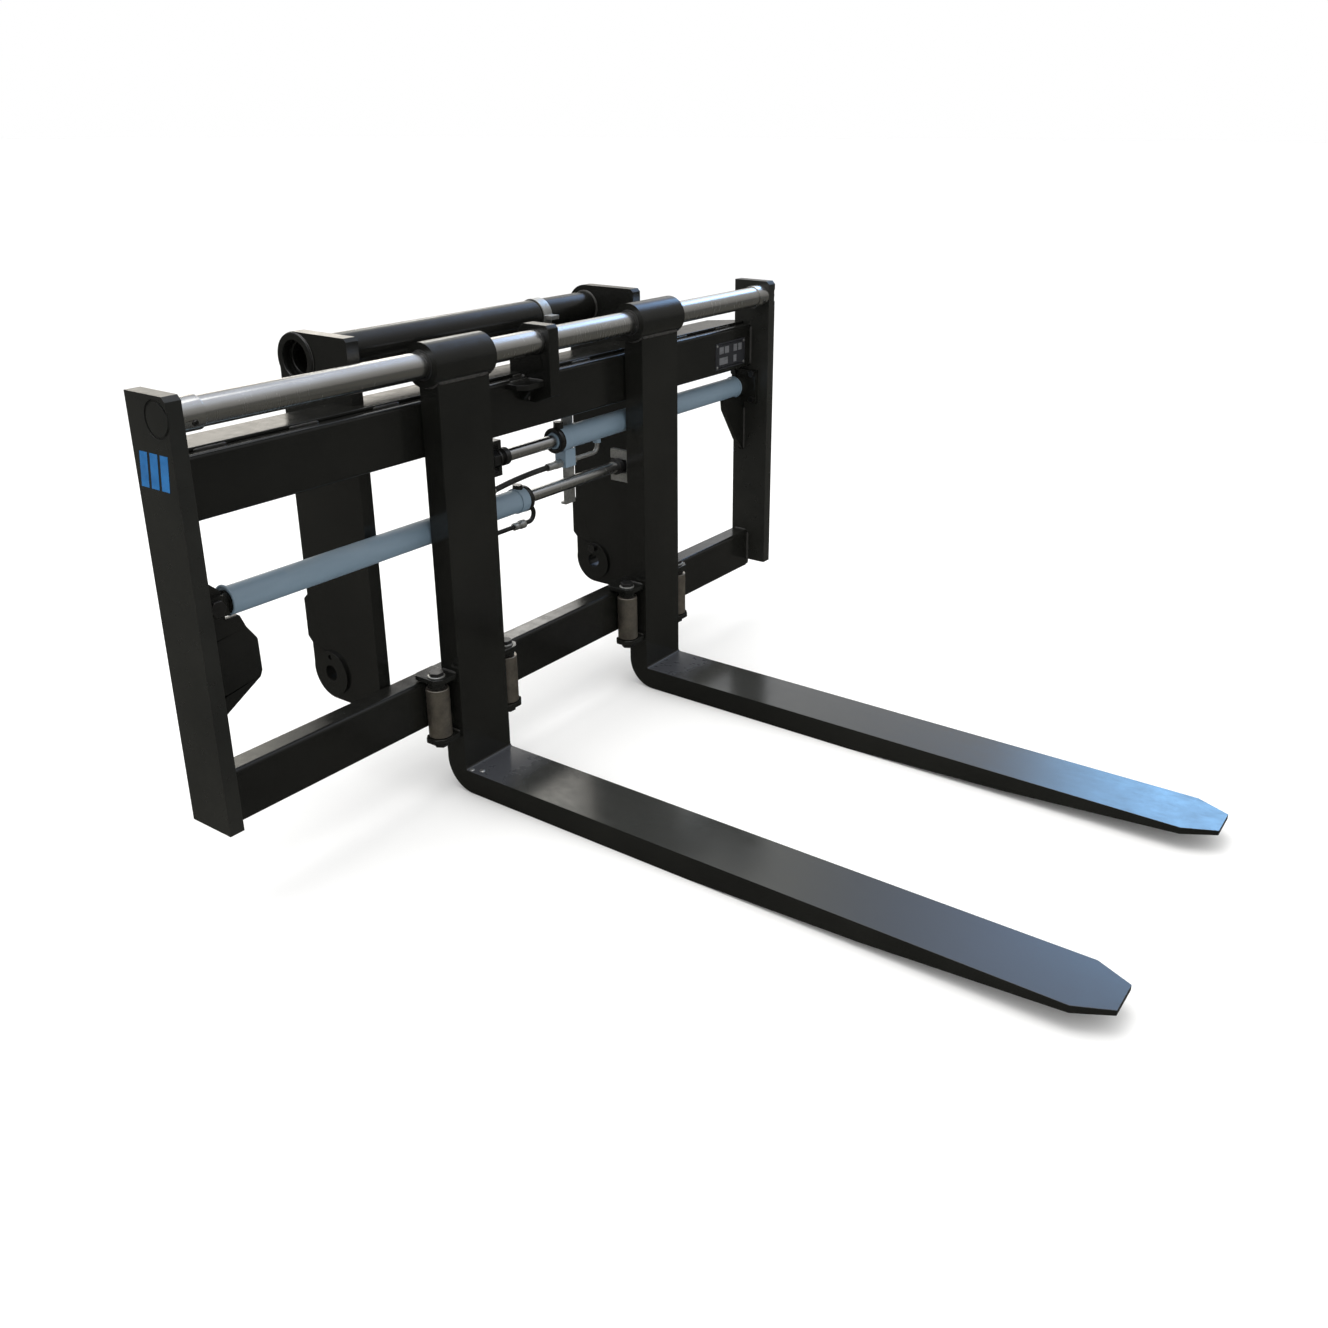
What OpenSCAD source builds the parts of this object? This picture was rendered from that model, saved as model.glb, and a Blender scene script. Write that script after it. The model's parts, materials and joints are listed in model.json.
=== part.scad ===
// Hydraulic pallet fork attachment: two L forks slide on a round shaft,
// each one pushed by its own cylinder, with a rear hook-on coupler.
// Millimetres.  X across the carriage, -Y towards the fork tips, Z up.

/* [Carriage] */
// width over the two side plates
frame_w = 1550; // [1530:5:1570]
// side plate thickness
plate_t = 25; // [20:1:28]
// side plate depth, front to back
plate_d = 93; // [90:1:96]
// side plate height
plate_h = 676; // [670:2:690]
// bevel at the top front corner of a side plate
plate_bevel = 7; // [4:1:12]
// upper beam height
upper_h = 98; // [92:1:102]
// height of the upper beam's underside above the plate bottom
upper_z = 479; // [476:1:482]
// lower beam height
lower_h = 92; // [88:1:94]
// how far the lower beam hangs below the plates
lower_drop = 17; // [14:1:20]
// beam wall
beam_wall = 6; // [5:0.5:8]
// depth of the stiffening flange behind the upper beam
flange_d = 48; // [40:1:55]

/* [Fork shaft] */
// shaft diameter
shaft_d = 45; // [42:0.5:46]
// shaft axis height above the plate bottom
shaft_z = 643; // [640:1:645]
// radial running clearance of the fork bushes
run_gap = 0.05; // [0.03:0.01:0.09]
// locking collar width
collar_w = 35; // [28:1:38]

/* [Forks] */
// blade length, shank face to tip
fork_len = 1200; // [1100:50:1250]
// fork width
fork_w = 120; // [112:1:122]
// fork thickness
fork_t = 45; // [42:1:45]
// drop of the blade's top face below the plates
blade_drop = 107; // [100:1:115]
// blade thickness at the tip
tip_t = 9; // [7:1:14]
// outer heel radius
heel_r = 60; // [50:1:65]
// eye tube outer diameter
eye_d = 76; // [72:1:78]
// eye tube length
eye_w = 140; // [132:1:142]
// left fork centre at rest
left_x = -225; // [-240:1:-215]
// right fork centre at rest
right_x = 330; // [320:1:340]

/* [Rollers] */
// roller diameter
roller_d = 42; // [40:1:43]
// roller length
roller_h = 94; // [88:1:95]
// roller centre from the fork centre
roller_x = 89; // [88:1:91]

/* [Cylinders] */
// barrel diameter
barrel_d = 45; // [42:0.5:46]
// rod diameter
rod_d = 25; // [22:1:26]
// lower cylinder axis height
lower_cyl_z = 340; // [336:1:344]
// upper cylinder axis height
upper_cyl_z = 434; // [431:1:436]

/* [Coupler] */
// hanger plate thickness
hanger_t = 25; // [20:1:28]
// outside distance over the two hangers
hanger_w = 777; // [760:1:790]
// cross tube outer diameter
tube_d = 63; // [60:1:66]
// cross tube bore
tube_bore = 51; // [48:1:53]
// lock pin bore
lock_d = 30; // [26:1:32]

/* [Hidden] */
$fn = 72;

in_x = frame_w / 2 - plate_t;          // inner face of a side plate
shaft_r = shaft_d / 2;
fit = 0.05;                            // radial gap between parts that sit in one another
shaft_seat = 5.5;                      // how far short of a plate's outer face the shaft ends
bracket_t = 27;
shaft_y = 25;
beam_y = 48;                           // front face of both beams
beam_d = plate_d - beam_y;
upper_top = upper_z + upper_h;
lower_top = lower_h - lower_drop;
shank_y0 = -1;                         // front face of the fork shank
shank_y1 = shank_y0 + fork_t;
blade_top = -blade_drop;
blade_bot = blade_top - fork_t;
tip_y = shank_y0 - fork_len;
cyl_y = (shank_y1 + plate_d) / 2 + 1;  // between the shanks and the hangers
flange_t = 6;
hang_x = hanger_w / 2;
ear_y = 222;
ear_z = 647;
ear_r = 45;
boss_y = 216;
boss_z = 74;
boss_r = 42;
boss_flange = 5;                       // thickness of each flange of a boss
spigot_r = boss_r - 8;                 // the boss where it passes through the hanger
keeper_z = 31;                         // keeper bolt above the lock bore
keeper_r = 4.8;
keeper_l = 30;
rear_y = ear_y + ear_r;
pad_y = rear_y + 10;                   // rear edge of the hanger wear pad
anchor_t = 12;                         // anchor plate, tab and saddle
anchor_y0 = cyl_y - anchor_t / 2;
anchor_y1 = cyl_y + anchor_t / 2;
anchor_bolt_x = -731;
anchor_bolt_r = 5.4;
bolt_af = 17;                          // across the flats of an M10 head
bolt_head = 7;
anchor_bolt_z = [185, 235, 285];
z_up = -blade_bot;                     // lifts the blade underside to Z = 0
y_up = -(tip_y + pad_y) / 2;           // centres the length on Y = 0
barrel_wall = 5;
gland_l = 30;
wiper_l = 4;                           // raised ring on a gland's face
wiper_r = 15;
port_x = -34;
pipe_r = 4.5;
loop_r = 15;                           // hairpin where the lower pipe leaves the gland
union_r = 8;                           // pipe union under a barrel
union_l = 7;
lower_union_x = -150;
upper_union_x = 206;
piston_l = 30;
piston_r = barrel_d / 2 - barrel_wall - 0.4;
gland_r = 24.5;
base_r = 24;
base_l = 12;                           // closed end of a barrel
base_h = 38;                           // half height of the upper cylinder's base flange
clevis_x = -708;
clevis_r = 17;
clevis_t = 7.5;                        // each cheek of the clevis
clevis_pin_r = 8;
clevis_pin_l = 14;                     // clevis pin, centre to head
clevis_head = 7.5;
big_af = 24;                           // across the flats of an M16 head
lower_head_x = -15;
lower_base_x = -682;
upper_head_x = 74;
upper_base_x = 722;
roller_y = beam_y - roller_d / 2 - 0.4;
roller_z0 = -28;
cap_z = 79;                            // underside of the top roller cap
cap_t = 9;
foot_t = 10;                           // plate under a pair of rollers
roller_head = 9;
foot_head = 11;
stub_r = 9;
stub_l = 34;                           // thin end of a rod beyond the lug's face
shoulder = 12.5;                       // collar between the rod's full width and the lug
washer_x = 10.5;                       // far face of the lug plus a running gap
washer_t = 4;
nut_l = 15.5;
nut_af = 30;
pin_r = 8;
slot_half = 14.5;
lug_half = 34;
lug_t = 10;
lug_window = 26;                       // half height of the left lug's opening
left_piston_x = 525;
right_piston_x = -355;
left_lug_x = left_x + 150;             // right end of the left drive lug
right_lug_x = right_x - 55;
collar_r = 25;
screw_r = 4.5;                         // collar lock screw
screw_af = 4;                          // its hexagon socket
screw_tilt = 22;                       // the screws lean back from the front by this angle
groove_r = 28;                         // ring turned around the shaft end in each plate
groove_w = 4;
groove_deep = 2.5;
ring_r = 44;                           // raised ring around the cross tube's hole
ring_t = 4;
sleeve_r = 7;                          // swaged sleeve on the hose
sleeve_l = 20;
block_x0 = 92;                         // port block under the upper gland
block_x1 = 122;
fitting_l = 10;
hose_z = lower_cyl_z + 45;
hose_r = 5.5;
hose_start_x = 52;                     // where the hose leaves the port block
hose_bow_r = 1076;                     // radius of its gentle bow
hose_droop = 8;                       // slope where it enters the elbow's sleeve
mark_t = 0.4;
mark_y = 19;
mark_z = 541;
mark_w = 18;
mark_h = 52;
mark_pitch = 24;
mark_lean = 7;
elbow_x = -118;                        // elbow fitting on the lower barrel
elbow_r = 9;

black = [0.05, 0.05, 0.05];
steel = [0.72, 0.72, 0.70];
zinc = [0.60, 0.61, 0.60];
blue_grey = [0.40, 0.48, 0.54];
bronze = [0.62, 0.46, 0.24];
rubber = [0.03, 0.03, 0.03];
mark_blue = [0.10, 0.42, 0.75];

module place() translate([0, y_up, z_up]) children();
module yz(x0, t) translate([x0, 0, 0]) rotate([90, 0, 90]) linear_extrude(t) children();
module xz(y0, t) translate([0, y0 + t, 0]) rotate([90, 0, 0]) linear_extrude(t) children();
module xcyl(x0, x1, r, y, z) translate([x0, y, z]) rotate([0, 90, 0]) cylinder(h = x1 - x0, r = r);
module ycyl(y0, y1, r, x, z) translate([x, y1, z]) rotate([90, 0, 0]) cylinder(h = y1 - y0, r = r);
module zcyl(z0, z1, r, x, y) translate([x, y, z0]) cylinder(h = z1 - z0, r = r);
module xring(x0, x1, ro, ri, y, z) difference() {
  xcyl(x0, x1, ro, y, z);
  xcyl(x0 - 1, x1 + 1, ri, y, z);
}
module box(x0, x1, y0, y1, z0, z1) translate([x0, y0, z0]) cube([x1 - x0, y1 - y0, z1 - z0]);
module xhex(x0, x1, af, y, z) translate([x0, y, z]) rotate([0, 90, 0])
  cylinder(h = x1 - x0, r = af / 2 / cos(30), $fn = 6);
module yhex(y0, y1, af, x, z) translate([x, y1, z]) rotate([90, 0, 0])
  cylinder(h = y1 - y0, r = af / 2 / cos(30), $fn = 6);
module zhex(z0, z1, af, x, y) translate([x, y, z0]) cylinder(h = z1 - z0, r = af / 2 / cos(30), $fn = 6);
// rounded rectangle from (a0,b0) to (a1,b1)
module rrect(a0, b0, a1, b1, r) {
  translate([a0 + r, b0]) square([a1 - a0 - 2 * r, b1 - b0]);
  translate([a0, b0 + r]) square([a1 - a0, b1 - b0 - 2 * r]);
  for (a = [a0 + r, a1 - r], b = [b0 + r, b1 - r]) translate([a, b]) circle(r);
}
// bend of a round line in the XZ plane, centre (x,z), start angle a
module bend(x, y, z, br, r, a, turn = 90) translate([x, y, z]) rotate([90, 0, 0]) rotate([0, 0, a])
  rotate_extrude(angle = turn) translate([br, 0]) circle(r);

// ---------- carriage ----------
module side_plate(x0, outer_x, s) difference() {
  yz(x0, plate_t) polygon([[plate_bevel, plate_h], [plate_d, plate_h], [plate_d, 0],
    [0, 0], [0, plate_h - plate_bevel]]);
  xcyl(s > 0 ? x0 - 1 : x0 + 5, s > 0 ? x0 + plate_t - 5 : x0 + plate_t + 1, shaft_r + fit,
    shaft_y, shaft_z);
  xring(outer_x - groove_deep, outer_x + groove_deep, groove_r, groove_r - groove_w, shaft_y, shaft_z);
}
module anchor_holes() for (z = anchor_bolt_z)
  ycyl(anchor_y0 - 1, anchor_y1 + anchor_t + 1, anchor_bolt_r + 0.1, anchor_bolt_x, z);
module left_side_plate() color(black) place() side_plate(-frame_w / 2, -frame_w / 2, -1);
// welded to the left plate, behind the cylinder anchor that bolts onto it
module anchor_tab() color(black) place() difference() {
  box(-in_x, -712, anchor_y1, anchor_y1 + anchor_t, 165, lower_cyl_z - 20);
  anchor_holes();
}
module right_side_plate() color(black) place() side_plate(in_x, frame_w / 2, 1);
module beam(z0, h) difference() {
  yz(-in_x, 2 * in_x) rrect(beam_y, z0, plate_d, z0 + h, 7);
  yz(-in_x - 1, 2 * in_x + 2) rrect(beam_y + beam_wall, z0 + beam_wall, plate_d - beam_wall,
    z0 + h - beam_wall, 3);
}
module upper_beam() color(black) place() beam(upper_z, upper_h);
module lower_beam() color(black) place() beam(-lower_drop, lower_h);
// stiffening flange welded along the top rear edge, notched for the hangers
module beam_flange() color(black) place() difference() {
  translate([0, 0, upper_top]) linear_extrude(flange_t) polygon([
    [-in_x + 45, plate_d + flange_d], [in_x - 45, plate_d + flange_d],
    [in_x, plate_d], [in_x, plate_d - 25], [-in_x, plate_d - 25], [-in_x, plate_d]]);
  box(-bracket_t / 2, bracket_t / 2, 0, plate_d, upper_top - 1, upper_top + flange_t + 1);
  for (x = [-hang_x, hang_x - hanger_t]) box(x, x + hanger_t, plate_d, plate_d + flange_d + 1,
    upper_top - 1, upper_top + flange_t + 1);
}
module fork_shaft() color(steel) place()
  xcyl(shaft_seat - frame_w / 2, frame_w / 2 - shaft_seat, shaft_r, shaft_y, shaft_z);
module lock_screw(x, r0, r1) translate([x, shaft_y, shaft_z]) rotate([screw_tilt - 180, 0, 0])
  ycyl(r0, r1, screw_r, 0, 0);
module lock_socket(x) translate([x, shaft_y, shaft_z]) rotate([screw_tilt - 180, 0, 0])
  yhex(collar_r - 0.5, collar_r + 2, screw_af, 0, 0);
module collar(x0) difference() {
  xring(x0, x0 + collar_w, collar_r, shaft_r + fit, shaft_y, shaft_z);
  lock_screw(x0 + collar_w / 2, shaft_r - 1, collar_r + 2);
}
module left_collar() color(steel) place() collar(-in_x);
module right_collar() color(steel) place() collar(in_x - collar_w);
// plate that carries the middle of the shaft and saddles the upper beam
module centre_bracket() color(black) place() yz(-bracket_t / 2, bracket_t) difference() {
  polygon([[-6, 545], [-6, 668], [0, 674], [56, 674], [plate_d, 636], [plate_d, upper_top],
    [beam_y, upper_top], [beam_y, 530], [34, 530]]);
  translate([shaft_y, shaft_z]) circle(shaft_r + fit);
}
// shelf and web beside the bracket
module bracket_gusset() color(black) place() {
  difference() {
    box(-74, -bracket_t / 2, 8, beam_y, 563, 573);
    translate([-74, 8, 560]) rotate([0, 0, 45]) cube([20, 20, 40], center = true);
  }
  yz(-40, 12) polygon([[16, 563], [beam_y, 563], [beam_y, 538], [40, 538]]);
}

// ---------- rear coupler ----------
module hanger_profile() difference() {
  union() {
    polygon([[plate_d, 22], [boss_y, 22], [rear_y, boss_z], [rear_y, 122], [pad_y, 132],
      [pad_y, 206], [rear_y, 216], [rear_y, ear_z], [ear_y, ear_z + ear_r],
      [plate_d + 6, ear_z + ear_r], [plate_d, ear_z + ear_r - 6]]);
    translate([ear_y, ear_z]) circle(ear_r);
    translate([boss_y, boss_z]) circle(52);
  }
  translate([ear_y, ear_z]) circle(tube_d / 2 + fit);
  translate([boss_y, boss_z]) circle(spigot_r);
  translate([boss_y, boss_z + keeper_z]) circle(keeper_r + 0.2);
}
module left_hanger() color(black) place() yz(-hang_x, hanger_t) hanger_profile();
module right_hanger() color(black) place() yz(hang_x - hanger_t, hanger_t) hanger_profile();
// the tube ends half way through each hanger
module coupler_tube() color(black) place()
  xring(hanger_t / 2 - hang_x, hang_x - hanger_t / 2, tube_d / 2, tube_bore / 2, ear_y, ear_z);
module coupler_rings() color(black) place() for (x = [-hang_x - ring_t, hang_x])
  xring(x, x + ring_t, ring_r, tube_d / 2 + fit, ear_y, ear_z);
// flanged boss: the spigot fills the hanger's hole, the flanges cover it
module boss(s) difference() {
  x0 = s * (hang_x - hanger_t / 2) - hanger_t / 2;
  union() {
    xcyl(x0, x0 + hanger_t, spigot_r - fit, boss_y, boss_z);
    for (x = [x0 - boss_flange, x0 + hanger_t]) xcyl(x, x + boss_flange, boss_r, boss_y, boss_z);
  }
  xcyl(x0 - hanger_t, x0 + 2 * hanger_t, lock_d / 2, boss_y, boss_z);
  xcyl(x0 - hanger_t, x0 + 2 * hanger_t, keeper_r + 0.2, boss_y, boss_z + keeper_z);
}
module left_boss() color(black) place() boss(-1);
module right_boss() color(black) place() boss(1);
// keeper bolts on the inner flanges, heads only proud of the flange
module lock_keepers() color(zinc) place() for (s = [-1, 1]) {
  x = s * (hang_x - hanger_t - boss_flange);
  xhex(s > 0 ? x - bolt_head : x, s > 0 ? x : x + bolt_head, bolt_af, boss_y, boss_z + keeper_z);
  xcyl(s > 0 ? x : x - keeper_l, s > 0 ? x + keeper_l : x, keeper_r, boss_y, boss_z + keeper_z);
}
module tube_clip() color(zinc) place() {
  xring(195, 219, tube_d / 2 + 3, tube_d / 2, ear_y, ear_z);
  box(195, 219, ear_y - 52, ear_y - tube_d / 2 - 2, ear_z - 4, ear_z + 4);
}

// ---------- cylinders ----------
module clevis_pin_hole() ycyl(0, plate_d + 27, clevis_pin_r + 0.1, clevis_x, lower_cyl_z);
module left_anchor() color(black) place() difference() {
  xz(anchor_y0, anchor_t) polygon([[-in_x, 392], [-708, 376], [-690, 360], [-690, 314],
    [-665, 314], [-656, 292], [-639, 267], [-638, 212], [-642, 203], [-709, 163], [-in_x, 150]]);
  clevis_pin_hole();
  anchor_holes();
}
// cradle under the closed end of the upper cylinder
module right_saddle() color(black) place() difference() {
  xz(anchor_y0, anchor_t) polygon([[in_x - base_l, 420], [663, 420], [668, 386], [720, 307],
    [746, 279], [in_x, 276], [in_x, upper_cyl_z - base_h], [in_x - base_l, upper_cyl_z - base_h]]);
  xcyl(600, upper_base_x - base_l, barrel_d / 2 + fit, cyl_y, upper_cyl_z);
  xcyl(upper_base_x - base_l, in_x, base_r + fit, cyl_y, upper_cyl_z);
}
module barrel(x0, x1, z) xring(x0, x1, barrel_d / 2, barrel_d / 2 - barrel_wall, cyl_y, z);
module pipe_union(x, z) zcyl(z - barrel_d / 2 - union_l, z - barrel_d / 2 + 1, union_r, x, cyl_y);
module lower_barrel() color(blue_grey) place() {
  barrel(lower_base_x, lower_head_x - gland_l, lower_cyl_z);
  xcyl(lower_base_x, lower_base_x + base_l, barrel_d / 2, cyl_y, lower_cyl_z);
  zcyl(lower_cyl_z + barrel_d / 2 - 3, lower_cyl_z + barrel_d / 2 + 2, elbow_r, elbow_x, cyl_y);
  pipe_union(lower_union_x, lower_cyl_z);
}
module upper_barrel() color(blue_grey) place() {
  barrel(upper_head_x + gland_l, upper_base_x - base_l, upper_cyl_z);
  pipe_union(upper_union_x, upper_cyl_z);
}
// screwed rod gland with a raised wiper ring
module gland(x, s, z) difference() {
  union() {
    xcyl(s > 0 ? x - gland_l : x, s > 0 ? x : x + gland_l, gland_r, cyl_y, z);
    xcyl(s > 0 ? x : x - wiper_l, s > 0 ? x + wiper_l : x, wiper_r, cyl_y, z);
  }
  xcyl(x - gland_l - 5, x + gland_l + 5, rod_d / 2 + fit, cyl_y, z);
}
module lower_gland() color(blue_grey) place() gland(lower_head_x, 1, lower_cyl_z);
module upper_gland() color(blue_grey) place() gland(upper_head_x, -1, upper_cyl_z);
module lower_clevis() color(black) place() {
  xcyl(lower_base_x - 4, lower_base_x, 19, cyl_y, lower_cyl_z);
  for (y = [cyl_y - clevis_pin_l, anchor_y1 + 0.5]) difference() {
    union() {
      box(clevis_x, lower_base_x - 4, y, y + clevis_t, lower_cyl_z - clevis_r, lower_cyl_z + clevis_r);
      ycyl(y, y + clevis_t, clevis_r, clevis_x, lower_cyl_z);
    }
    clevis_pin_hole();
  }
}
module lower_pin() color(zinc) place() {
  y0 = cyl_y - clevis_pin_l;
  y1 = cyl_y + clevis_pin_l;
  ycyl(y0, y1, clevis_pin_r, clevis_x, lower_cyl_z);
  yhex(y0 - clevis_head, y0, big_af, clevis_x, lower_cyl_z);
  yhex(y1, y1 + clevis_head, big_af, clevis_x, lower_cyl_z);
}
module upper_base() color(black) place() {
  xcyl(upper_base_x - base_l, in_x - base_l, base_r, cyl_y, upper_cyl_z);
  box(in_x - base_l, in_x, 26, plate_d - 1, upper_cyl_z - base_h, upper_cyl_z + base_h);
}
// heads of the bolts in the base flange, the anchor plate and the collars
module carriage_bolts() color(zinc) place() {
  for (y = [35, 84], z = [upper_cyl_z - 30, upper_cyl_z + 30])
    xhex(in_x - base_l - bolt_head, in_x - base_l, 13, y, z);
  back = anchor_y1 + anchor_t;
  for (z = anchor_bolt_z) {
    yhex(anchor_y0 - bolt_head, anchor_y0, bolt_af, anchor_bolt_x, z);
    ycyl(anchor_y0, back, anchor_bolt_r, anchor_bolt_x, z);
    yhex(back, back + bolt_head + 1, bolt_af, anchor_bolt_x, z);
  }
  for (x = [-in_x + collar_w / 2, in_x - collar_w / 2]) difference() {
    lock_screw(x, shaft_r + 0.1, collar_r + 1.2);
    lock_socket(x);
  }
}
module port_block() color(blue_grey) place() difference() {
  box(block_x0, block_x1, cyl_y - 14, cyl_y + 14, 377, upper_cyl_z - gland_r + 5);
  xcyl(block_x0 - 1, block_x1 + 1, gland_r + 0.02, cyl_y, upper_cyl_z);
}
// black plug screwed into a top port of a gland
module plug(x, z, head) difference() {
  union() {
    zcyl(z, z + gland_r + 2, 10, x, cyl_y);
    zhex(z + gland_r + 2, z + gland_r + 2 + head, bolt_af, x, cyl_y);
  }
  xcyl(x - 40, x + 40, gland_r + 0.02, cyl_y, z);
}
module gland_plugs() color(black) place() {
  plug(port_x, lower_cyl_z, 4.5);
  plug(upper_head_x + 15, upper_cyl_z, 9);
}
// rubber line from the port block, drooping to an elbow on the lower barrel
hose_end_x = hose_start_x - hose_bow_r * sin(hose_droop);
hose_end_z = hose_z - hose_bow_r * (1 - cos(hose_droop));
module jumper_hose() color(rubber) place()
  bend(hose_start_x, cyl_y, hose_z - hose_bow_r, hose_bow_r, hose_r, 90, hose_droop);
module along_slope(l, r) translate([hose_end_x, cyl_y, hose_end_z]) rotate([0, -90 - hose_droop, 0])
  cylinder(h = l, r = r);
module hose_fittings() color(zinc) place() {
  along_slope(sleeve_l, sleeve_r);
  zcyl(lower_cyl_z + barrel_d / 2 + 2, lower_cyl_z + barrel_d / 2 + 17, elbow_r, elbow_x, cyl_y);
  xcyl(hose_start_x, block_x0 - 16, sleeve_r + 0.5, cyl_y, hose_z);
  xhex(block_x0 - 16, block_x0, 16, cyl_y, hose_z);
  xhex(block_x1, block_x1 + fitting_l, 16, cyl_y, hose_z);
}
// steel return pipes under the barrels
module lower_pipe() color(steel) place() {
  z1 = lower_cyl_z - gland_r + pipe_r + 0.3;
  x1 = lower_head_x + 7;
  xcyl(lower_head_x, x1, pipe_r, cyl_y, z1);
  bend(x1, cyl_y, z1 - loop_r, loop_r, pipe_r, 0);
  bend(x1, cyl_y, z1 - loop_r, loop_r, pipe_r, -90);
  xcyl(lower_union_x + 12, x1, pipe_r, cyl_y, z1 - 2 * loop_r);
  bend(lower_union_x + 12, cyl_y, z1 - 2 * loop_r + 12, 12, pipe_r, 180);
  zcyl(z1 - 2 * loop_r + 12, lower_cyl_z - barrel_d / 2 - union_l, pipe_r, lower_union_x, cyl_y);
}
module upper_pipe() color(steel) place() {
  xcyl(block_x1 + fitting_l, upper_union_x - 14, pipe_r, cyl_y, hose_z);
  bend(upper_union_x - 14, cyl_y, hose_z + 14, 14, pipe_r, -90);
  zcyl(hose_z + 14, upper_cyl_z - barrel_d / 2 - union_l, pipe_r, upper_union_x, cyl_y);
}
module hose_strap() color(zinc) place() {
  box(130, 160, plate_d, plate_d + 5, 286, 560);
  box(130, 160, plate_d + 5, plate_d + 13, 286, 291);
}
module data_plate() color(zinc) place() difference() {
  box(604, 724, beam_y - 1.2, beam_y, 490, 550);
  for (x = [610, 718], z = [496, 544]) ycyl(beam_y - 2, beam_y + 1, 2, x, z);
}
// plain slanted bars on the outer faces of the side plates
module side_marks() color(mark_blue) place() for (s = [-1, 1])
  yz(s > 0 ? frame_w / 2 : -frame_w / 2 - mark_t, mark_t) for (i = [0 : 2])
    translate([mark_y + i * mark_pitch, mark_z]) polygon([[0, 0], [mark_w, 0],
      [mark_w - mark_lean, mark_h], [-mark_lean, mark_h]]);

// ---------- rods ----------
// the rod passes the lug as a thinner stub held by a collar and a nut
module left_rod() color(steel) place() {
  xcyl(left_lug_x + shoulder, left_piston_x, rod_d / 2, cyl_y, upper_cyl_z);
  xcyl(left_lug_x - stub_l, left_lug_x + shoulder, stub_r, cyl_y, upper_cyl_z);
}
module left_piston() color(black) place()
  xcyl(left_piston_x, left_piston_x + piston_l, piston_r, cyl_y, upper_cyl_z);
// collar, washer and nut on the stub of a rod, drawn for a lug face at x = 0
module rod_nuts() {
  xring(-shoulder, -0.5, 17, stub_r, 0, 0);
  xring(washer_x, washer_x + washer_t, 18, stub_r, 0, 0);
  difference() {
    xhex(washer_x + washer_t, washer_x + washer_t + nut_l, nut_af, 0, 0);
    xcyl(0, washer_x + washer_t + nut_l + 1, stub_r, 0, 0);
  }
}
module left_rod_nuts() color(zinc) place()
  translate([left_lug_x, cyl_y, upper_cyl_z]) rotate([0, 0, 180]) rod_nuts();
module right_rod() color(steel) place() {
  xcyl(right_piston_x, right_lug_x - shoulder, rod_d / 2, cyl_y, lower_cyl_z);
  xcyl(right_lug_x - shoulder, right_lug_x + stub_l, stub_r, cyl_y, lower_cyl_z);
}
module right_piston() color(black) place()
  xcyl(right_piston_x - piston_l, right_piston_x, piston_r, cyl_y, lower_cyl_z);
module right_rod_nuts() color(zinc) place() translate([right_lug_x, cyl_y, lower_cyl_z]) rod_nuts();

// ---------- forks ----------
taper_y = shank_y0 - 500;              // the blade starts to thin here
heel_in = 6;                           // fillet between shank and blade
bush_r = 26;
bush_l = 30;
module fork_side() difference() {
  union() {
    polygon([[shank_y1, 614], [shank_y0, 614], [shank_y0, blade_top], [tip_y, blade_top],
      [tip_y, blade_top - tip_t], [taper_y - 320, blade_bot + 11], [taper_y, blade_bot],
      [shank_y1 - heel_r, blade_bot], [shank_y1, blade_bot + heel_r]]);
    difference() {
      translate([shank_y0 - heel_in, blade_top]) square(heel_in);
      translate([shank_y0 - heel_in, blade_top + heel_in]) circle(heel_in);
    }
  }
  translate([shaft_y, shaft_z]) circle(eye_d / 2 + 0.02);
}
module fork_arm(x) intersection() {
  union() {
    yz(x - fork_w / 2, fork_w) fork_side();
    intersection() {
      xcyl(x - fork_w / 2, x + fork_w / 2, heel_r, shank_y1 - heel_r, blade_bot + heel_r);
      union() {
        box(x - fork_w, x + fork_w, shank_y0, shank_y1, blade_bot, blade_bot + heel_r);
        box(x - fork_w, x + fork_w, shank_y1 - heel_r, shank_y1, blade_bot, blade_top);
      }
    }
  }
  translate([0, 0, blade_bot - 1]) linear_extrude(900) polygon([[x - fork_w / 2, shank_y1],
    [x + fork_w / 2, shank_y1], [x + fork_w / 2, tip_y + 57], [x + fork_w / 2 - 27, tip_y],
    [x - fork_w / 2 + 27, tip_y], [x - fork_w / 2, tip_y + 57]]);
}
module eye(x) {
  xring(x - eye_w / 2, x + eye_w / 2, eye_d / 2, bush_r, shaft_y, shaft_z);
  ycyl(shaft_y + eye_d / 2 - 1, shaft_y + eye_d / 2 + 4, 4, x + 38, shaft_z + 4);
}
module bushes(x) for (x0 = [x - eye_w / 2 + 2, x + eye_w / 2 - 2 - bush_l])
  xring(x0, x0 + bush_l, bush_r, shaft_r + run_gap, shaft_y, shaft_z);
module cap_outline(s, y1, reach) polygon([[s * (fork_w / 2), 4], [s * (roller_x + reach - 13), 4],
  [s * (roller_x + reach), 16], [s * (roller_x + reach), y1 - 8], [s * (roller_x + reach - 9), y1],
  [s * (fork_w / 2), y1]]);
module roller_mounts(x) translate([x, 0, 0]) difference() {
  for (s = [-1, 1]) {
    translate([0, 0, cap_z]) linear_extrude(cap_t) cap_outline(s, 68, 20);
    zcyl(roller_z0 + roller_h + 1, cap_z, 17, s * roller_x, roller_y);
    translate([0, 0, roller_z0 - 1 - foot_t]) linear_extrude(foot_t) cap_outline(s, 46, 25);
  }
  for (s = [-1, 1]) zcyl(-60, 120, pin_r + 0.1, s * roller_x, roller_y);
}
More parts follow.
